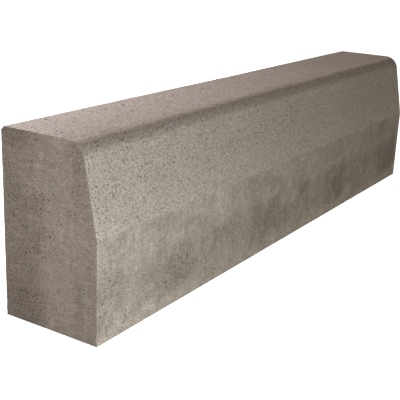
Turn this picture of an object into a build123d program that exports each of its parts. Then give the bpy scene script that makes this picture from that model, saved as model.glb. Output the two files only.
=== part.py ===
from build123d import *
import os
from math import atan2, cos, tan

# Straight precast concrete road kerb with a battered upper front face. Millimetres.
# The origin is the centre of the base: +X runs along the kerb, -Y faces the road, +Z is up.

# Driving dimensions
length = 1000.0
base_width = 150.0
height = 250.0
foot_height = 135.0  # vertical lower part of the front face, up to the break line
batter_inset = 22.0  # how far the battered face leans back by the level of the top
arris_radius = 26.0  # rounding between the battered face and the top
back_chamfer = 5.0  # at 45 degrees, along the rear top edge
facing_thickness = 12.0  # fine facing mix, measured square to the face it covers

# Derived places in the cross-section, where the first number is Y and the second Z
front = -base_width / 2
back = base_width / 2
lean = atan2(batter_inset, height - foot_height)  # batter angle from the vertical
ledge_edge = front + facing_thickness / cos(lean)  # inner edge of the core's ledge
core_top = height - facing_thickness
core_corner = ledge_edge + (core_top - foot_height) * tan(lean)


def rounded_section(points, corner, radius):
    """Closed section through the points, with the one at corner rounded."""
    section = make_face(Polyline(*points, close=True))
    sharp = section.vertices().sort_by_distance((*corner, 0))[0]
    return fillet(sharp, radius)


def kerb_section():
    """Outline of the whole kerb."""
    corner = (front + batter_inset, height)
    points = [
        (front, 0),
        (front, foot_height),
        corner,
        (back - back_chamfer, height),
        (back, height - back_chamfer),
        (back, 0),
    ]
    return rounded_section(points, corner, arris_radius)


def core_section():
    """Backing concrete: everything below the facing, which rests on its front ledge."""
    corner = (core_corner, core_top)
    points = [
        (front, 0),
        (front, foot_height),
        (ledge_edge, foot_height),
        corner,
        (back, core_top),
        (back, 0),
    ]
    return rounded_section(points, corner, arris_radius - facing_thickness)


def along_kerb(section):
    """The section drawn out to both sides of the middle, over the kerb's length."""
    return extrude(Plane.YZ * section, amount=length / 2, both=True)


def core_concrete():
    return along_kerb(core_section())


def facing_concrete():
    """Layer that wraps the top, the front arris and the batter, down to the break line."""
    return along_kerb(kerb_section() - core_section())


os.makedirs("parts", exist_ok=True)
for build in (core_concrete, facing_concrete):
    export_step(build(), f"parts/{build.__name__}.step")
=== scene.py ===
import math
import random
from collections import defaultdict, namedtuple

import bpy
import numpy as np
from mathutils import Matrix, Quaternion, Vector, geometry, noise


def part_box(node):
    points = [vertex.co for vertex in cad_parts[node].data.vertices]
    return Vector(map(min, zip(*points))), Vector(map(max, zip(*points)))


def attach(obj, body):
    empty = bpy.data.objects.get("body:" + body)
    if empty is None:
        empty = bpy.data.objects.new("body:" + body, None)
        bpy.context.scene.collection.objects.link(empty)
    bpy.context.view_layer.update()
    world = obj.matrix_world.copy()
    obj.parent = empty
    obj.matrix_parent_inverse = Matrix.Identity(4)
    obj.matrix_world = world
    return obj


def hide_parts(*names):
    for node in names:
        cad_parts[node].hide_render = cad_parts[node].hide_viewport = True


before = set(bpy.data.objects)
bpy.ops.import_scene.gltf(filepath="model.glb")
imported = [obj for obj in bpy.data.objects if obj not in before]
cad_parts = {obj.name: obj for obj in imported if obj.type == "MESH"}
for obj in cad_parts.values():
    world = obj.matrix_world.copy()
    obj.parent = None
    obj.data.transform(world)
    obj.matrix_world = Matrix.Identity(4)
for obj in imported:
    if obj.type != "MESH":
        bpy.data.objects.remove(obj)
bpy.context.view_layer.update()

MM = 0.001
CM2_PER_M2 = 1e4
rng = random.Random(25)

# ---------------------------------------------------------------------------------------------
# The kerb's section, Y across and Z up: places from the frame, and the design's own small sizes
# ---------------------------------------------------------------------------------------------

core_low, core_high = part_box("core_concrete")
facing_low, facing_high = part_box("facing_concrete")
LEFT, RIGHT = core_low.x, core_high.x
FRONT, BACK = core_low.y, core_high.y
BASE, FOOT_TOP = core_low.z, facing_low.z
CORE_TOP, TOP = core_high.z, facing_high.z
FACING = TOP - CORE_TOP
BATTER_INSET = 22 * MM
ARRIS_RADIUS = 26 * MM
BACK_CHAMFER = 5 * MM
LEAN = math.atan2(BATTER_INSET, TOP - FOOT_TOP)

# How the faces are meshed
LINE_STEP = 3.5 * MM  # between points along an edge
ARC_STEP = 2.6 * MM  # between points round the arris
EDGE = 1.0 * MM  # width of the worn strip beside an exposed edge
PIT_FROM_EDGE = 1.6 * EDGE  # least distance from an exposed edge to a pit,
PLAIN_FROM_EDGE = 2 * EDGE  # and to a plain point
PLAIN_FROM_PIT = 0.4 * MM  # least distance from a plain point to a pit
CREASE = math.radians(34)  # an edge sharper than this is shaded as a crease
MERGE_WITHIN = 1e-7  # metres, in which two points of a face are one

# What casting and handling leave on the concrete
WAVE = 0.16 * MM  # slow unevenness of every face
WAVES_PER_METRE = 17, 75  # and how it rises and falls, slowly and quickly
ROUNDING = 0.3 * MM  # how far every exposed edge is rubbed back
CRUMBLE = 0.9 * MM  # and how much further where grains have come off
GRAINS_PER_METRE = 140, 420  # large and small ones
BURR = 0.45 * MM  # thin fin along the break line, where the press head met the mould
BURRS_PER_METRE = 60  # how its width changes
PIT_GAP = 0.7 * MM  # least sound concrete between two pits
PATCHES_PER_METRE = 22, 30  # where pits gather, along a face and up it
RAGGED = 0.78, 1.12  # a pit's rim lies between these shares of its radius
SMALL_PIT = 0.9 * MM  # below this radius, fewer points make a pit
BLOWHOLES = 60  # larger pits on the top, over its whole length

# A finish: pits tried per square centimetre, the smallest and largest radius, depth as a share of
# the radius, how far the pits gather in patches (0 to 1), the step between plain points, their grain
Finish = namedtuple("Finish", "pits smallest largest depth patchy step grain")
FINISHES = {
    "batter": Finish(6.2, 0.5 * MM, 1.35 * MM, 1.0, 0.15, 6 * MM, 0.06 * MM),
    "arris": Finish(7.0, 0.5 * MM, 1.4 * MM, 0.9, 0.15, ARC_STEP, 0.04 * MM),
    "top": Finish(1.5, 0.5 * MM, 1.6 * MM, 0.9, 0.5, 6 * MM, 0.06 * MM),
    "foot": Finish(2.0, 0.45 * MM, 1.2 * MM, 0.8, 0.9, 6 * MM, 0.06 * MM),
    "back": Finish(0.8, 0.6 * MM, 1.8 * MM, 0.8, 0.8, 7 * MM, 0.06 * MM),
    "base": Finish(1.0, 0.8 * MM, 2.4 * MM, 0.7, 0.7, 6 * MM, 0.15 * MM),
    "end": Finish(2.2, 0.45 * MM, 1.2 * MM, 0.8, 0.7, 4.5 * MM, 0.06 * MM),
}
HIDDEN = "hidden"

# A cloud on a drawn face: its place along the face and above the base, half length, half height, how
# dark, and the number of pinholes. Those on the foot come again every CLOUD_SPACING along it.
CLOUD_SPACING = 260 * MM
Cloud = namedtuple("Cloud", "along up half_length half_height dark pits", defaults=(0,))
FOOT_CLOUDS = [
    Cloud(157 * MM, 51 * MM, 46 * MM, 33 * MM, 0.30, 60),
    Cloud(172 * MM, 48 * MM, 20 * MM, 19 * MM, 0.22, 60),
    Cloud(188 * MM, 76 * MM, 14 * MM, 11 * MM, 0.20, 5),
    Cloud(210 * MM, 46 * MM, 26 * MM, 12 * MM, 0.15, 12),
    Cloud(284 * MM, 67 * MM, 28 * MM, 14 * MM, 0.22, 24),
    Cloud(246 * MM, 44 * MM, 26 * MM, 15 * MM, 0.12, 24),
    Cloud(133 * MM, 121 * MM, 28 * MM, 17 * MM, 0.22, 3),
    Cloud(181 * MM, 109 * MM, 24 * MM, 9 * MM, 0.22, 3),
    Cloud(302 * MM, 126 * MM, 16 * MM, 12 * MM, 0.14),
    Cloud(210 * MM, 97 * MM, 22 * MM, 13 * MM, 0.09),
    Cloud(46 * MM, 60 * MM, 20 * MM, 26 * MM, 0.09),
    Cloud(52 * MM, 20 * MM, 13 * MM, 8 * MM, 0.20, 16),
    Cloud(255 * MM, 18 * MM, 20 * MM, 11 * MM, 0.22, 20),
    Cloud(105 * MM, 14 * MM, 24 * MM, 10 * MM, -0.12),
]

# The clouds on the ends, whose place along the face is measured from the front
END_CLOUDS = [
    Cloud(50 * MM, 55 * MM, 20 * MM, 62 * MM, 0.16),
    Cloud(26 * MM, 53 * MM, 6 * MM, 35 * MM, 0.3),
    Cloud(40 * MM, 160 * MM, 10 * MM, 8 * MM, 0.26),
    Cloud(31 * MM, 194 * MM, 7 * MM, 22 * MM, 0.12),
    Cloud(27 * MM, 229 * MM, 10 * MM, 17 * MM, 0.3),
    Cloud(44 * MM, 97 * MM, 12 * MM, 7 * MM, 0.12),
    Cloud(88 * MM, 36 * MM, 8 * MM, 12 * MM, 0.08),
    Cloud(92 * MM, 104 * MM, 11 * MM, 9 * MM, 0.14),
    Cloud(86 * MM, 127 * MM, 8 * MM, 7 * MM, 0.18),
    Cloud(92 * MM, 157 * MM, 10 * MM, 7 * MM, 0.25),
    Cloud(90 * MM, 171 * MM, 8 * MM, 7 * MM, 0.08),
    Cloud(85 * MM, 211 * MM, 8 * MM, 17 * MM, -0.34),
    Cloud(124 * MM, 205 * MM, 15 * MM, 19 * MM, -0.2),
]

# One hollow in a face: its place, radius and depth, and how far and which way it is stretched
Pit = namedtuple("Pit", "x y radius depth stretch heading")

# One straight scratch in a face: its middle, half its length and its heading
Scratch = namedtuple("Scratch", "x y half_length heading")
SCRATCH_STEP = 1.5 * MM  # between its points
SCRATCH_WIDTH = 1.1 * MM  # from its bottom to each lip
SCRATCH_DEPTH = 1.0 * MM
SCRATCH_CLEAR = 0.8 * MM  # round each of its points, kept free of pits


class Run:
    """A straight or round stretch of an outline that is followed clockwise, with the road at -Y."""

    def __init__(self, finish, start, end, centre=None, hollow=False):
        self.finish, self.start, self.end, self.centre = finish, start, end, centre
        self.outward = -1 if hollow else 1
        self.length = (end - start).length
        if centre:
            spoke, last = start - centre, end - centre
            self.turn = -spoke.angle_signed(last)
            self.length = abs(self.turn) * spoke.length

    def at(self, along):
        """The point at that distance along the run, and the outward normal there."""
        share = along / self.length
        if self.centre:
            spoke = self.start - self.centre
            spoke.rotate(Matrix.Rotation(self.turn * share, 2))
            return self.centre + spoke, spoke.normalized() * self.outward
        ahead = (self.end - self.start).normalized()
        return self.start.lerp(self.end, share), Vector((-ahead.y, ahead.x))

    def reversed(self, finish):
        return Run(finish, self.end, self.start, self.centre, hollow=True)


class Sheet:
    """Runs that follow one another without a crease, and make one face along the kerb."""

    def __init__(self, *runs):
        self.runs = runs
        self.length = sum(run.length for run in runs)
        self.hidden = runs[0].finish == HIDDEN

    def at(self, along):
        """The point at that distance along the sheet, and the outward normal there."""
        for run in self.runs:
            if along <= run.length or run is self.runs[-1]:
                return run.at(min(along, run.length))
            along -= run.length

    def steps(self):
        """Distances of the points along the sheet's edge at a kerb end, without its last one."""
        reached = 0.0
        for run in self.runs:
            step = ARC_STEP if run.centre else LINE_STEP
            count = max(1, round(run.length / step)) if not self.hidden or run.centre else 1
            yield from (reached + run.length * k / count for k in range(count))
            reached += run.length

    def bands(self):
        """Each run's finish, with where it begins and ends along the sheet."""
        reached = 0.0
        for run in self.runs:
            yield run.finish, reached, reached + run.length
            reached += run.length


def over_the_arris(ledge, inset, top, radius, last, finishes):
    """Up a batter from the ledge point, round the arris and along the top to its last point."""
    corner = Vector((FRONT + inset, top))
    tangent = radius * math.tan((math.pi / 2 - LEAN) / 2)
    low = corner - Vector((math.sin(LEAN), math.cos(LEAN))) * tangent
    high = corner + Vector((tangent, 0))
    centre = high - Vector((0, radius))
    batter, arris, flat = finishes
    return [Run(batter, ledge, low), Run(arris, low, high, centre), Run(flat, high, last)]


def sections():
    """The outlines of the two bodies of concrete, each a list of sheets, clockwise."""
    break_line = Vector((FRONT, FOOT_TOP))
    ledge = Vector((FRONT + FACING / math.cos(LEAN), FOOT_TOP))
    core_inset = ledge.x - FRONT + (CORE_TOP - FOOT_TOP) * math.tan(LEAN)
    core_back = Vector((BACK, CORE_TOP))
    top_back = Vector((BACK - BACK_CHAMFER, TOP))
    chamfer_foot = Vector((BACK, TOP - BACK_CHAMFER))
    front_base, back_base = Vector((FRONT, BASE)), Vector((BACK, BASE))

    skin = over_the_arris(
        break_line, BATTER_INSET, TOP, ARRIS_RADIUS, top_back, ("batter", "arris", "top")
    )
    joint = over_the_arris(
        ledge, core_inset, CORE_TOP, ARRIS_RADIUS - FACING, core_back, (HIDDEN,) * 3
    )
    facing = [
        Sheet(*skin),
        Sheet(Run("top", top_back, chamfer_foot)),
        Sheet(Run("back", chamfer_foot, core_back)),
        Sheet(*(run.reversed(HIDDEN) for run in reversed(joint))),
        Sheet(Run(HIDDEN, ledge, break_line)),
    ]
    core = [
        Sheet(Run("foot", front_base, break_line)),
        Sheet(Run(HIDDEN, break_line, ledge)),
        Sheet(*joint),
        Sheet(Run("back", core_back, back_base)),
        Sheet(Run("base", back_base, front_base)),
    ]
    return core, facing


# ---------------------------------------------------------------------------------------------
# Pits, scratches and wear
# ---------------------------------------------------------------------------------------------


class Taken:
    """Round places already used on a face, kept in square cells so that neighbours are quick."""

    CELL = 8 * MM  # about the reach of two large pits together

    def __init__(self):
        self.cells = defaultdict(list)

    def clear(self, x, y, radius):
        """True where a circle would overlap none of them."""
        column, row = int(x // self.CELL), int(y // self.CELL)
        for near in ((column + i, row + j) for i in (-1, 0, 1) for j in (-1, 0, 1)):
            for other_x, other_y, other in self.cells.get(near, ()):
                if math.hypot(x - other_x, y - other_y) < radius + other:
                    return False
        return True

    def add(self, x, y, radius):
        self.cells[int(x // self.CELL), int(y // self.CELL)].append((x, y, radius))


def border_distance(places, outline):
    """How far each place is inside the closed outline, and below zero outside it."""
    places, starts = np.array(places), np.array(outline)
    stops = np.roll(starts, -1, axis=0)
    sides = stops - starts
    offsets = places[:, None, :] - starts[None, :, :]
    share = np.clip((offsets * sides).sum(2) / (sides * sides).sum(1), 0, 1)
    gap = np.linalg.norm(offsets - share[..., None] * sides, axis=2).min(1)
    heights = places[:, 1:2]
    crosses = (starts[:, 1] > heights) != (stops[:, 1] > heights)
    rise = np.where(sides[:, 1] == 0, 1, sides[:, 1])
    left_of = places[:, 0:1] < starts[:, 0] + (heights - starts[:, 1]) * sides[:, 0] / rise
    inside = (crosses & left_of).sum(1) % 2 == 1
    return np.where(inside, gap, -gap)


def x_range(outline):
    """The outline's lowest and highest x."""
    return min(place[0] for place in outline), max(place[0] for place in outline)


def pit_points(pit):
    """A ragged hollow: places, how deep each is, and how dark its painted shade is there from 0 to
    1.
    """
    # rings of points, from the rim inwards: how many, share of the radius, share of the depth, dark
    rings = [(8, 1.0, 0.0, 0.0), (5, 0.7, 0.66, 0.9), (1, 0.1, 1.0, 1.0)]
    if pit.radius < SMALL_PIT:
        rings = [(6, 1.0, 0.0, 0.0), (3, 0.5, 0.9, 1.0)]
    turn = Matrix.Rotation(pit.heading, 2)
    for count, share, sunk, dark in rings:
        for k in range(count):
            angle = math.tau * (k + rng.uniform(-0.3, 0.3)) / count
            reach = pit.radius * share * rng.uniform(*RAGGED)
            spot = Vector(
                (math.cos(angle) * reach * pit.stretch, math.sin(angle) * reach / pit.stretch)
            )
            spot.rotate(turn)
            yield pit.x + spot.x, pit.y + spot.y, pit.depth * sunk, dark


def patchiness(x, y, patchy):
    """Chance that a pit forms here, where they gather in patches a few centimetres wide."""
    along, up = PATCHES_PER_METRE
    cloud = 0.5 + 0.8 * noise.noise(Vector((x * along, y * up, 7.7)))
    return 1 - patchy + patchy * min(1, max(0, cloud)) * 1.4


def random_pits(bands, outline):
    """Pits all over a face, which may overlap or lie outside it."""
    low_x, high_x = x_range(outline)
    for name, low_y, high_y in bands:
        finish = FINISHES[name]
        area = (high_x - low_x) * (high_y - low_y)
        for _ in range(round(finish.pits * CM2_PER_M2 * area)):
            x, y = rng.uniform(low_x, high_x), rng.uniform(low_y, high_y)
            if rng.random() < patchiness(x, y, finish.patchy):
                radius = finish.smallest + (finish.largest - finish.smallest) * rng.random() ** 1.8
                depth = radius * finish.depth * rng.uniform(0.7, 1.1)
                stretch, heading = math.sqrt(rng.uniform(1.0, 1.9)), rng.uniform(0, math.pi)
                yield Pit(x, y, radius, depth, stretch, heading)


def pit_cluster(x, y, reach, count):
    """Pits crowded round one place, where the mix was short of fines."""
    for _ in range(count):
        radius = rng.uniform(0.8, 1.8) * MM
        place = rng.gauss(x, reach / 2), rng.gauss(y, reach / 2)
        yield Pit(*place, radius, radius * 0.9, rng.uniform(1.0, 1.4), rng.uniform(0, math.pi))


def blowholes(low_y, high_y, count):
    """Sparse larger pits all along the kerb, between two distances up its unrolled skin. They have
    random numbers of their own, so that their count changes no other pit."""
    draw = random.Random(8)
    for _ in range(count):
        radius = draw.uniform(1.4, 2.4) * MM
        place = draw.uniform(LEFT, RIGHT), draw.uniform(low_y, high_y)
        yield Pit(*place, radius, radius, draw.uniform(1.0, 1.3), draw.uniform(0, math.pi))


def scratch_points(scratch):
    """A groove between raised lips: places, how deep each is, and how dark its painted shade is
    there.
    """
    ahead = Vector((math.cos(scratch.heading), math.sin(scratch.heading)))
    steps = round(scratch.half_length / SCRATCH_STEP)
    for step in range(-steps, steps + 1):
        strength = rng.uniform(0.6, 1.0) * (1 - (step / (steps + 1)) ** 4)
        for side, sunk, dark in ((-1, -0.25, 0.0), (0, 1.0, 1.0), (1, -0.25, 0.0)):
            aside = ahead.orthogonal() * side * SCRATCH_WIDTH
            spot = Vector((scratch.x, scratch.y)) + ahead * step * SCRATCH_STEP + aside
            yield spot.x, spot.y, SCRATCH_DEPTH * sunk * strength, dark * strength


def scattered(bands, outline, marks):
    """Marks, pits and plain points for a face: (x, y, depth, darkness), clear of its border."""
    taken, found = Taken(), []
    for scratch in (mark for mark in marks if isinstance(mark, Scratch)):
        points = list(scratch_points(scratch))
        found += points
        for x, y, *_ in points:
            taken.add(x, y, SCRATCH_CLEAR)
    pits = [mark for mark in marks if isinstance(mark, Pit)] + list(random_pits(bands, outline))
    gaps = border_distance([(pit.x, pit.y) for pit in pits], outline)
    for pit, gap in zip(pits, gaps):
        reach = pit.radius * pit.stretch * max(RAGGED)
        if gap > reach + PIT_FROM_EDGE and taken.clear(pit.x, pit.y, reach + PIT_GAP):
            taken.add(pit.x, pit.y, reach)
            found += pit_points(pit)
    low_x, high_x = x_range(outline)
    for name, low_y, high_y in bands:
        finish = FINISHES[name]
        columns = round((high_x - low_x) / finish.step)
        rows = max(1, round((high_y - low_y) / finish.step))
        plain = [
            (
                low_x + (high_x - low_x) * (i + 0.5 + rng.uniform(-0.3, 0.3)) / columns,
                low_y + (high_y - low_y) * (j + 0.5) / rows,
            )
            for j in range(rows)
            for i in range(columns)
        ]
        gaps = border_distance(plain, outline)
        found += [
            (x, y, rng.uniform(-1, 1) * finish.grain, 0.0)
            for (x, y), gap in zip(plain, gaps)
            if gap > PLAIN_FROM_EDGE and taken.clear(x, y, PLAIN_FROM_PIT)
        ]
    return found


def unevenness(point):
    """Slow waviness of the cast faces, in metres."""
    slowly, quickly = WAVES_PER_METRE
    slow = noise.noise(point * slowly)
    quick = noise.noise(point * quickly + Vector((3, 1, 4)))
    return WAVE * (slow + 0.4 * quick)


def wear(point):
    """How far an exposed edge is rubbed and crumbled back at a point."""
    large, small = GRAINS_PER_METRE
    loose = noise.noise(point * large) + 0.6 * noise.noise(point * small)
    return ROUNDING + CRUMBLE * max(0, loose - 0.15) ** 1.5


def burr(point):
    """How far the fin along the break line stands out at a point."""
    return BURR * (0.55 + 0.6 * noise.noise(Vector((point.x * BURRS_PER_METRE, 0, 5))))


# ---------------------------------------------------------------------------------------------
# Meshing: every face is a triangulated sheet of plain points and pits that share its borders
# ---------------------------------------------------------------------------------------------


class Block:
    """One body of concrete, a prism along X round a loop of sheets, as a closed mesh."""

    def __init__(self, name, sheets, marks):
        self.name, self.sheets, self.marks = name, sheets, marks
        self.points, self.pits, self.upward, self.worn = [], [], [], []
        self.faces, self.finishes = [], []
        self.rims = {LEFT: self.rim(LEFT, -1), RIGHT: self.rim(RIGHT, 1)}
        self.lines = [self.line(k) for k in range(len(sheets))]
        for k in range(len(sheets)):
            self.skin(k)
        self.close(LEFT, -1, marks.get("left_end", ()))
        self.close(RIGHT, 1, ())

    def vertex(self, point, normal, depth=0.0, dark=0.0, worn=0.0):
        """Adds a point, sunk by depth along the normal into a face that isn't quite flat."""
        self.points.append(point - normal * (depth + unevenness(point)))
        self.pits.append(dark)
        self.upward.append(max(0.0, normal.z))
        self.worn.append(worn)
        return len(self.points) - 1

    def corner_normal(self, k):
        """Outward normal, in the section, where sheet k begins: of its exposed sides only."""
        before, after = self.sheets[k - 1], self.sheets[k]
        sides = [] if before.hidden else [before.at(before.length)[1]]
        sides += [] if after.hidden else [after.at(0)[1]]
        return sum(sides, Vector((0, 0))).normalized() if sides else None

    def edge_vertex(self, point, normal, is_break):
        """A point on an exposed edge: a burr on the break line, and else worn back."""
        if is_break:
            return self.vertex(point, normal, depth=-burr(point))
        return self.vertex(point, normal, depth=wear(point), worn=1.0)

    def is_break(self, k):
        """True where the facing's lower edge stands over the foot."""
        return self.sheets[k].runs[0].finish == "batter"

    def rim(self, end, side):
        """Vertices round the loop at one kerb end: for each sheet, (distance along it, index)."""
        outside = Vector((side, 0, 0))
        rims = []
        for k, sheet in enumerate(self.sheets):
            rims.append([])
            for along in sheet.steps():
                place, normal = sheet.at(along)
                if along == 0:
                    normal = self.corner_normal(k)
                elif sheet.hidden:
                    normal = None
                point = Vector((end, place.x, place.y))
                if normal is None:
                    index = self.vertex(point, outside)
                else:
                    slope = (outside + Vector((0, normal.x, normal.y))).normalized()
                    index = self.vertex(point, slope, depth=wear(point), worn=1.0)
                rims[-1].append((along, index))
        return rims

    def line(self, k):
        """Vertices along the kerb where sheet k begins: (x, index), from left to right."""
        place = self.sheets[k].at(0)[0]
        normal = self.corner_normal(k)
        found = [(LEFT, self.rims[LEFT][k][0][1])]
        count = round((RIGHT - LEFT) / LINE_STEP) if normal else 0
        for step in range(1, count):
            x = LEFT + (RIGHT - LEFT) * (step + rng.uniform(-0.3, 0.3)) / count
            point = Vector((x, place.x, place.y))
            outward = Vector((0, normal.x, normal.y))
            found.append((x, self.edge_vertex(point, outward, self.is_break(k))))
        return found + [(RIGHT, self.rims[RIGHT][k][0][1])]

    def skin(self, k):
        """Meshes sheet k, unrolled as distance along the kerb and distance along the sheet."""
        sheet, after = self.sheets[k], (k + 1) % len(self.sheets)
        border = [((x, 0.0), v) for x, v in self.lines[k][:-1]]
        border += [((RIGHT, along), v) for along, v in self.rims[RIGHT][k]]
        border += [((x, sheet.length), v) for x, v in reversed(self.lines[after])]
        border += [((LEFT, along), v) for along, v in reversed(self.rims[LEFT][k][1:])]

        def lay(x, along, depth, dark):
            place, normal = sheet.at(along)
            outward = Vector() if sheet.hidden else Vector((0, normal.x, normal.y))
            return self.vertex(Vector((x, place.x, place.y)), outward, depth, dark)

        bands = list(sheet.bands())
        if sheet.hidden:
            self.fill(border, hidden_rows(sheet), bands, lay)
        else:
            outline = [(LEFT, 0), (RIGHT, 0), (RIGHT, sheet.length), (LEFT, sheet.length)]
            marks = self.marks.get(sheet.runs[0].finish, ())
            self.fill(border, exposed_points(border, outline, bands, marks), bands, lay)

    def close(self, end, side, marks):
        """Meshes the end face inside the rim, with Y turned over at the left to keep it outward."""
        border = []
        for sheet, rim in zip(self.sheets, self.rims[end]):
            border += [((sheet.at(along)[0].x * side, sheet.at(along)[0].y), v) for along, v in rim]
        heights = [place[1] for place, v in border]

        def lay(across, z, depth, dark):
            return self.vertex(Vector((end, across * side, z)), Vector((side, 0, 0)), depth, dark)

        bands = [("end", min(heights), max(heights))]
        outline = [place for place, v in border]
        self.fill(border, exposed_points(border, outline, bands, marks), bands, lay)

    def fill(self, border, inner, bands, lay):
        """Triangulates a face between its border vertices and the inner points that it lays."""
        places = [Vector(place) for place, v in border] + [Vector(point[:2]) for point in inner]
        indices = [v for place, v in border] + [lay(*point) for point in inner]
        ring = list(range(len(border)))
        edges = list(zip(ring, ring[1:] + ring[:1]))
        inside_only = 1
        _, _, triangles, sources, _, _ = geometry.delaunay_2d_cdt(
            places, edges, [ring], inside_only, MERGE_WITHIN
        )
        for triangle in triangles:
            corners = [sources[corner][0] for corner in triangle]
            self.faces.append([indices[corner] for corner in corners])
            middle = sum(places[corner].y for corner in corners) / 3
            name = next((n for n, low, high in bands if low <= middle <= high), bands[-1][0])
            self.finishes.append(name)


def hidden_rows(sheet):
    """Inner points of a hidden sheet: rows along the kerb that hold the shape of its round runs."""
    columns = 20
    places = [LEFT + (RIGHT - LEFT) * k / columns for k in range(1, columns)]
    return [(x, along, 0.0, 0.0) for along in list(sheet.steps())[1:] for x in places]


def exposed_points(border, outline, bands, marks):
    """Inner points of an exposed face: a line just inside its worn edges, and what is scattered."""
    line = list(inset([Vector(place) for place, v in border], EDGE))
    gaps = border_distance(line, outline)
    inner = [(*place, 0.0, 0.0) for place, gap in zip(line, gaps) if gap > 0.9 * EDGE]
    return inner + scattered(bands, outline, marks)


def left_end_marks():
    """Handling scratches and pinholes on the left end, where places are (-Y, Z)."""
    back_edge = -BACK
    return [
        Scratch(back_edge + 18 * MM, TOP - 85 * MM, 8 * MM, math.radians(-27)),
        Scratch(back_edge + 13 * MM, TOP - 88 * MM, 7 * MM, math.radians(-27)),
        Scratch(back_edge + 9 * MM, TOP - 96 * MM, 5 * MM, math.radians(-33)),
        Scratch(back_edge + 16 * MM, TOP - 109 * MM, 6 * MM, math.radians(-36)),
        *pit_cluster(back_edge + 60 * MM, TOP - 84 * MM, 13 * MM, 50),
        *pit_cluster(back_edge + 64 * MM, TOP - 120 * MM, 10 * MM, 7),
        *pit_cluster(back_edge + 52 * MM, TOP - 143 * MM, 17 * MM, 22),
        *pit_cluster(back_edge + 33 * MM, BASE + 32 * MM, 14 * MM, 90),
    ]


def foot_marks():
    """Pinholes in the foot's clouds, where places are (X, height above the base)."""
    found = []
    for cloud in FOOT_CLOUDS:
        reach = min(cloud.half_length, cloud.half_height)
        for turn in range(-1, math.ceil((RIGHT - LEFT) / CLOUD_SPACING)):
            x = LEFT + cloud.along + turn * CLOUD_SPACING
            found += pit_cluster(x, cloud.up, reach, cloud.pits)
    return found


def inset(places, distance):
    """The closed outline's points, moved inwards by the distance."""
    area = sum(a.cross(b) for a, b in zip(places, places[1:] + places[:1]))
    side = math.copysign(1, area)
    for before, place, after in zip(places[-1:] + places[:-1], places, places[1:] + places[:1]):
        arriving, leaving = (place - before).normalized(), (after - place).normalized()
        inwards = (arriving + leaving).normalized().orthogonal() * side
        yield place + inwards * distance / max(0.3, inwards.dot(arriving.orthogonal() * side))


def mesh_object(block, materials):
    """The block as a Blender object, with each finish's material and the masks as attributes."""
    mesh = bpy.data.meshes.new(block.name)
    mesh.from_pydata(block.points, [], block.faces)
    for look in materials.values():
        if look.name not in mesh.materials:
            mesh.materials.append(look)
    for polygon, finish in zip(mesh.polygons, block.finishes):
        polygon.material_index = mesh.materials.find(materials[finish].name)
    for name, values in (("pit", block.pits), ("upward", block.upward), ("worn", block.worn)):
        layer = mesh.attributes.new(name, "FLOAT", "POINT")
        layer.data.foreach_set("value", values)
    mesh.shade_smooth()
    mesh.set_sharp_from_angle(angle=CREASE)
    mesh.validate()
    piece = bpy.data.objects.new(block.name, mesh)
    bpy.context.scene.collection.objects.link(piece)
    return piece


# ---------------------------------------------------------------------------------------------
# Materials
# ---------------------------------------------------------------------------------------------

FACING_TONE = (0.290, 0.2755, 0.251)
TOP_TONE = (0.300, 0.268, 0.259)
FOOT_TONE = (0.280, 0.265, 0.239)
END_TONE = (0.304, 0.278, 0.252)
BACK_TONE = (0.262, 0.241, 0.217)
DAMP = (0.62, 0.595, 0.58)  # what is left of each colour where the concrete is darkest
COLOUR_A, COLOUR_B, COLOUR_OUT = 6, 7, 2  # the Mix node's sockets when it mixes colours


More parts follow.
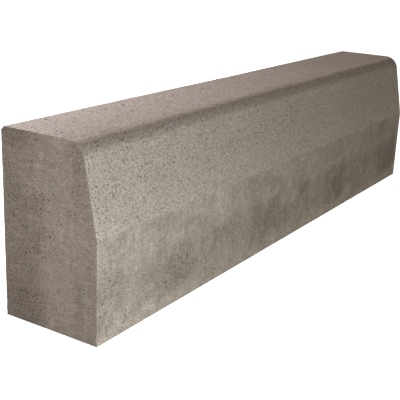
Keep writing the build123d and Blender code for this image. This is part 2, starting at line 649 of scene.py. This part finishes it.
class Recipe:
    """Shorthand for building one material's node tree."""

    def __init__(self, name):
        self.material = bpy.data.materials.new(name)
        self.material.use_nodes = True
        self.tree = self.material.node_tree
        self.shader = self.tree.nodes["Principled BSDF"]
        self.place = self.node("ShaderNodeTexCoord").outputs["Object"]
        self.x, self.y, self.z = self.node("ShaderNodeSeparateXYZ", {0: self.place}).outputs

    def node(self, kind, inputs=(), **settings):
        made = self.tree.nodes.new(kind)
        for name, value in settings.items():
            setattr(made, name, value)
        for key, value in dict(inputs).items():
            self.feed(made.inputs[key], value)
        return made

    def feed(self, socket, value):
        if isinstance(value, bpy.types.NodeSocket):
            self.tree.links.new(value, socket)
        else:
            socket.default_value = value

    def math(self, operation, *values):
        return self.node("ShaderNodeMath", enumerate(values), operation=operation).outputs[0]

    def product(self, *values):
        result = values[0]
        for value in values[1:]:
            result = self.math("MULTIPLY", result, value)
        return result

    def spread(self, value, low, high, to_low=0.0, to_high=1.0):
        """Maps low..high smoothly to to_low..to_high, and holds it there outside."""
        sockets = {"Value": value, "From Min": low, "From Max": high}
        sockets.update({"To Min": to_low, "To Max": to_high})
        return self.node("ShaderNodeMapRange", sockets, interpolation_type="SMOOTHSTEP").outputs[0]

    def scaled(self, x, y, z, offset=(0, 0, 0)):
        sockets = {"Vector": self.place, "Scale": (x, y, z), "Location": offset}
        return self.node("ShaderNodeMapping", sockets).outputs[0]

    def noise(self, per_metre, detail=2.0, rough=0.5, place=None):
        sockets = {"Vector": place or self.place, "Scale": per_metre}
        sockets.update({"Detail": detail, "Roughness": rough})
        return self.node("ShaderNodeTexNoise", sockets).outputs[0]

    def stirred(self, per_metre, reach):
        """X, Y and Z shifted about by a noise, about as far as the reach, to draw a ragged mask."""
        sockets = {"Vector": self.place, "Scale": per_metre, "Detail": 5.0, "Roughness": 0.7}
        swirl = self.node("ShaderNodeTexNoise", sockets).outputs["Color"]
        start = self.scaled(1, 1, 1, (-2 * reach,) * 3)
        sockets = {0: swirl, 1: (4 * reach,) * 3, 2: start}
        moved = self.node("ShaderNodeVectorMath", sockets, operation="MULTIPLY_ADD").outputs[0]
        return self.node("ShaderNodeSeparateXYZ", {0: moved}).outputs

    def mottle(self, texture, depth):
        """A noise as a brightness factor that swings by that share about 1."""
        return self.spread(texture, 0.25, 0.75, 1 - depth, 1 + depth)

    def specks(self, per_metre, low, high, share):
        """Round specks, one in some cells: 1 inside, 0 outside, with an edge from low to high."""
        cells = self.node("ShaderNodeTexVoronoi", {"Vector": self.place, "Scale": per_metre})
        near = self.spread(cells.outputs["Distance"], low, high, 1.0, 0.0)
        chance = self.node("ShaderNodeSeparateColor", {0: cells.outputs["Color"]}).outputs[0]
        return self.product(near, self.math("LESS_THAN", chance, share))

    def attribute(self, name):
        return self.node("ShaderNodeAttribute", attribute_name=name).outputs["Fac"]

    def tone(self, colour, *factors):
        """The colour with its brightness multiplied by every factor."""
        for factor in factors:
            sockets = {0: colour, "Scale": factor}
            colour = self.node("ShaderNodeVectorMath", sockets, operation="SCALE").outputs[0]
        return colour

    def mix(self, factor, first, second):
        made = self.node("ShaderNodeMix", {"Factor": factor}, data_type="RGBA")
        self.feed(made.inputs[COLOUR_A], first)
        self.feed(made.inputs[COLOUR_B], second)
        return made.outputs[COLOUR_OUT]

    def damped(self, colour, amount):
        """The colour darkened and warmed, all the way where the amount is 1."""
        sockets = {0: colour, 1: self.mix(amount, (1, 1, 1, 1), (*DAMP, 1))}
        return self.node("ShaderNodeVectorMath", sockets, operation="MULTIPLY").outputs[0]

    def finish(self, colour, height, roughness, bump=0.4):
        """Connects colour and relief to the shader, where height is in millimetres."""
        sockets = {"Height": height, "Strength": bump, "Distance": MM}
        relief = self.node("ShaderNodeBump", sockets).outputs["Normal"]
        self.feed(self.shader.inputs["Base Color"], colour)
        self.feed(self.shader.inputs["Normal"], relief)
        self.feed(self.shader.inputs["Roughness"], roughness)
        self.shader.inputs["Specular IOR Level"].default_value = 0.3
        return self.material


def facing_material():
    """Pressed facing mix: sandy and pitted, pinker on top, paler just above the arris, and darkened
    on the arris as painted shade.
    """
    make = Recipe("facing_concrete_pressed")
    upward = make.attribute("upward")
    sand = make.noise(410, 3.0, 0.85)
    pores = make.noise(430, 1.0, 0.6, make.scaled(1, 1, 1, (3, 5, 2)))
    pale_grains = make.specks(420, 0.15, 0.25, 0.2)
    on_top = make.spread(upward, 0.64, 1.0)
    # painted shade: the arris band, found by how far the surface faces up
    arris = make.product(make.spread(upward, 0.18, 0.66), make.spread(upward, 0.78, 0.95, 1.0, 0.0))
    # a paler band where the arris turns into the top, found by how far the surface faces up
    pale_crest = make.product(make.spread(upward, 0.8, 0.98), make.spread(upward, 0.985, 1.0, 1.0, 0.0))
    colour = make.mix(on_top, (*FACING_TONE, 1), (*TOP_TONE, 1))
    colour = make.tone(
        colour,
        make.mottle(sand, 0.28),
        make.mottle(make.noise(250, 1.0), 0.09),
        make.mottle(make.noise(24, 3.0, 0.55), 0.02),
        make.mottle(make.noise(5), 0.03),
        # painted shade on the arris
        make.spread(arris, 0, 1, 1.0, 0.76),
        make.spread(pale_crest, 0, 1, 1.0, 1.34),
        # painted shade in the pores, which the relief also dents
        make.spread(pores, 0.56, 0.64, 1.0, 0.56),
        make.spread(make.z, FOOT_TOP, FOOT_TOP + 60 * MM, 1.11, 1.0),
        make.spread(pale_grains, 0, 1, 1.0, 1.25),
        # painted shade in the pits and scratch grooves
        make.spread(make.attribute("pit"), 0, 0.9, 1.0, 0.27),
        make.spread(make.attribute("worn"), 0, 1, 1.0, 1.05),
    )
    relief = make.math("SUBTRACT", sand, make.spread(pores, 0.56, 0.7, 0.0, 0.4))
    return make.finish(colour, relief, make.spread(sand, 0.3, 0.7, 0.93, 0.8))


def drawn(make, colour, grain, sandy, streaky, blotchy):
    """Colour and relief of a face that slid along the mould wall, with streaks up and down."""
    sand = make.noise(grain, 2.0, 0.8)
    fine = make.noise(1.0, 2.0, 0.6, make.scaled(300, 300, 40))
    wide = make.noise(1.0, 3.0, 0.6, make.scaled(105, 105, 28, (3, 1, 0)))
    colour = make.tone(
        colour,
        make.mottle(sand, sandy),
        make.mottle(make.noise(150, 2.0), 0.09),
        make.mottle(fine, streaky),
        make.mottle(wide, streaky),
        make.mottle(make.noise(45, 4.0, 0.65), blotchy),
        make.mottle(make.noise(20, 3.0, 0.6), blotchy / 2),
        # painted shade in the pits and scratch grooves
        make.spread(make.attribute("pit"), 0, 0.9, 1.0, 0.3),
        make.spread(make.attribute("worn"), 0, 1, 1.0, 1.05),
    )
    return colour, make.math("ADD", sand, make.product(fine, 0.5))


def cloudiness(make, clouds, distance, z, total):
    """The total plus how dark the clouds make a face, where 1 is darkest. The distance is a function
    that takes a cloud's place along the face and says how far off it is."""
    for cloud in clouds:
        across = make.math("DIVIDE", distance(cloud.along), cloud.half_length)
        up = make.math("DIVIDE", make.math("SUBTRACT", z, BASE + cloud.up), cloud.half_height)
        away = make.math("SMOOTH_MAX", across, make.math("ABSOLUTE", up), 0.7)
        total = make.math("ADD", total, make.spread(away, 0.8, 1.2, cloud.dark, 0.0))
    return total


def crumbs(make, colour, amount):
    """The colour with grains picked out darker where the amount is above 0."""
    grains = make.spread(make.noise(400, 2.0, 0.75), 0.5, 0.62)
    return make.tone(colour, make.spread(make.product(grains, amount), 0, 0.6, 1.0, 0.62))


def foot_material():
    """Mould-drawn front foot with damp-looking clouds, paler towards the base, and lighter towards
    the left end as painted light.
    """
    make = Recipe("foot_concrete_drawn")
    colour, relief = drawn(make, FOOT_TONE, 530, 0.36, 0.06, 0.14)
    x, _, z = make.stirred(55, 14 * MM)

    def distance(place):
        return make.math("PINGPONG", make.math("SUBTRACT", x, LEFT + place), CLOUD_SPACING / 2)

    lower = make.spread(z, BASE + 84 * MM, BASE + 96 * MM, 0.13, 0.05)
    amount = cloudiness(make, FOOT_CLOUDS, distance, z, lower)
    gritty = make.spread(make.z, BASE + 70 * MM, BASE + 100 * MM, 0.28, 0.0)
    colour = crumbs(make, make.damped(colour, amount), make.math("MAXIMUM", amount, gritty))
    pale_base = make.spread(make.z, BASE + 4 * MM, BASE + 38 * MM, 1.21, 1.0)
    # painted light: the foot's colour lifted near the left end, where the lamps are close
    painted_light_left = make.spread(make.x, LEFT + 200 * MM, LEFT + 400 * MM, 1.05, 1.0)
    return make.finish(make.tone(colour, pale_base, painted_light_left), relief, 0.88, bump=0.45)


def end_material():
    """Mould-drawn ends with clouds, darker at the front edge and towards the back and its foot."""
    make = Recipe("end_concrete_drawn")
    colour, relief = drawn(make, END_TONE, 600, 0.45, 0.04, 0.07)
    blotch = make.noise(18, 5.0, 0.65)
    layers = make.noise(1.0, 3.0, 0.65, make.scaled(40, 40, 170))
    ragged = make.math("MULTIPLY_ADD", blotch, 100 * MM, make.y)
    middle = (FRONT + BACK) / 2
    rearward = make.spread(ragged, middle + 40 * MM, middle + 95 * MM)
    back = make.product(rearward, make.spread(make.y, BACK - 32 * MM, BACK - 6 * MM, 1.0, 0.9))
    low = make.spread(make.z, BASE + 20 * MM, BASE + 110 * MM, 1.0, 0.0)
    low_back = make.product(rearward, low)
    top_band = make.product(back, make.spread(make.z, TOP - 24 * MM, TOP - 12 * MM))
    lean_back = make.math("MULTIPLY_ADD", make.z, math.tan(LEAN), -FOOT_TOP * math.tan(LEAN))
    from_front = make.math("SUBTRACT", make.y, make.math("MAXIMUM", lean_back, 0.0))
    front_strip = make.spread(from_front, FRONT + 10 * MM, FRONT + 42 * MM, 0.32, 0.0)
    amount = make.math("ADD", make.product(back, 0.55), make.product(low_back, 0.45))
    amount = make.math("ADD", amount, make.product(top_band, 0.2))
    amount = make.math("ADD", amount, front_strip)
    _, y, z = make.stirred(110, 6 * MM)

    def distance(place):
        return make.math("ABSOLUTE", make.math("SUBTRACT", y, FRONT + place))

    amount = cloudiness(make, END_CLOUDS, distance, z, amount)
    colour = crumbs(make, make.damped(colour, amount), make.math("MINIMUM", amount, 0.6))
    return make.finish(make.tone(colour, make.mottle(layers, 0.11)), relief, 0.9, bump=0.7)


def back_material():
    """Mould-drawn back, with paler lime bloom in patches."""
    make = Recipe("back_concrete_drawn")
    colour, relief = drawn(make, BACK_TONE, 530, 0.42, 0.08, 0.1)
    bloom = make.spread(make.noise(9, 4.0, 0.6), 0.5, 0.68)
    damp = make.spread(make.noise(7, 3.0, 0.6, make.scaled(1, 1, 1, (4, 0, 1))), 0.5, 0.7, 0.0, 0.7)
    colour = make.tone(make.damped(colour, damp), make.spread(bloom, 0, 1, 1.0, 1.12))
    return make.finish(colour, relief, 0.9)


def base_material():
    """Underside, rough from the pallet that the kerb was cast on."""
    make = Recipe("base_concrete_rough")
    sand = make.noise(180, 4.0, 0.8)
    colour = make.tone(
        END_TONE,
        make.mottle(sand, 0.32),
        make.mottle(make.noise(16, 4.0, 0.6), 0.12),
        # painted shade in the pits
        make.spread(make.attribute("pit"), 0, 1, 1.0, 0.45),
    )
    return make.finish(colour, sand, 0.95, bump=0.7)


# ---------------------------------------------------------------------------------------------
# Stage
# ---------------------------------------------------------------------------------------------

FLOOR_REACH = 30.0  # metres from the kerb to each side of the floor


def camera():
    """The viewpoint: close to the left end, a little above the kerb and turned a touch."""
    position = Vector((-1.1947, -0.6510, 0.4774))
    target = Vector((-0.0652, 0.0616, 0.0510))
    roll = Quaternion((0, 0, 1), math.radians(2.424))
    data = bpy.data.cameras.new("camera")
    data.sensor_width, data.lens = 36.0, 74.69
    data.clip_start, data.clip_end = 0.05, 100.0
    seen_from = bpy.data.objects.new("camera", data)
    seen_from.location = position
    aim = (target - position).to_track_quat("-Z", "Y")
    seen_from.rotation_euler = (aim @ roll).to_euler()
    bpy.context.scene.collection.objects.link(seen_from)
    bpy.context.scene.camera = seen_from


def lamp(name, position, power, colour, size):
    """A soft round lamp, which the camera doesn't see."""
    data = bpy.data.lights.new(name, "POINT")
    data.energy, data.color, data.shadow_soft_size = power, colour, size
    made = bpy.data.objects.new(name, data)
    made.location = position
    made.visible_camera = False
    bpy.context.scene.collection.objects.link(made)


def surround():
    """White as the camera sees it, and a dim warm light from all round to everything else."""
    world = bpy.data.worlds.new("studio")
    world.use_nodes = True
    tree = world.node_tree
    shade = tree.nodes.new("ShaderNodeMix")
    shade.data_type = "RGBA"
    shade.inputs[COLOUR_A].default_value = (0.42, 0.352, 0.277, 1)
    shade.inputs[COLOUR_B].default_value = (1, 1, 1, 1)
    path = tree.nodes.new("ShaderNodeLightPath")
    tree.links.new(path.outputs["Is Camera Ray"], shade.inputs[0])
    tree.links.new(shade.outputs[COLOUR_OUT], tree.nodes["Background"].inputs["Color"])
    bpy.context.scene.world = world


def floor():
    """A wide pale floor that the camera sees as white, and that bounces less light than that."""
    mesh = bpy.data.meshes.new("floor")
    signs = (-1, -1), (1, -1), (1, 1), (-1, 1)
    corners = [(x * FLOOR_REACH, y * FLOOR_REACH, BASE) for x, y in signs]
    mesh.from_pydata(corners, [], [(0, 1, 2, 3)])
    ground = bpy.data.objects.new("floor", mesh)
    bpy.context.scene.collection.objects.link(ground)
    pale = bpy.data.materials.new("floor_pale")
    pale.use_nodes = True
    shader = pale.node_tree.nodes["Principled BSDF"]
    shader.inputs["Base Color"].default_value = (0.45, 0.45, 0.45, 1)
    shader.inputs["Roughness"].default_value = 1.0
    shader.inputs["Specular IOR Level"].default_value = 0.0
    shader.inputs["Emission Color"].default_value = (1, 1, 1, 1)
    path = pale.node_tree.nodes.new("ShaderNodeLightPath")
    pale.node_tree.links.new(path.outputs["Is Camera Ray"], shader.inputs["Emission Strength"])
    mesh.materials.append(pale)


# ---------------------------------------------------------------------------------------------

bpy.context.scene.view_settings.view_transform = "Standard"
camera()
surround()
floor()
lamp("lamp_behind", (-0.445, 0.587, 0.514), 39.0, (1, 0.95, 0.93), 0.12)
lamp("lamp_front", (-0.78, -0.80, 0.231), 27.3, (1, 0.97, 0.94), 0.12)
lamp("lamp_right", (1.35, 0.85, 0.22), 30.0, (1, 0.96, 0.92), 0.2)

facing_look, end_look = facing_material(), end_material()
looks = {
    "batter": facing_look,
    "arris": facing_look,
    "top": facing_look,
    "foot": foot_material(),
    "back": back_material(),
    "end": end_look,
    "base": base_material(),
    HIDDEN: end_look,
}
core_sheets, facing_sheets = sections()
core_marks = {"left_end": left_end_marks(), "foot": foot_marks()}
_, top_low, top_high = list(facing_sheets[0].bands())[-1]
facing_marks = {"batter": list(blowholes(top_low, top_high, BLOWHOLES))}
for node, slot, sheets, marks in (
    ("core_concrete", "backing_concrete", core_sheets, core_marks),
    ("facing_concrete", "facing_concrete", facing_sheets, facing_marks),
):
    block = Block(node + "_cast", sheets, marks)
    used = set(block.finishes)
    piece = mesh_object(block, {name: look for name, look in looks.items() if name in used})
    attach(piece, "root")
    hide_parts(node)
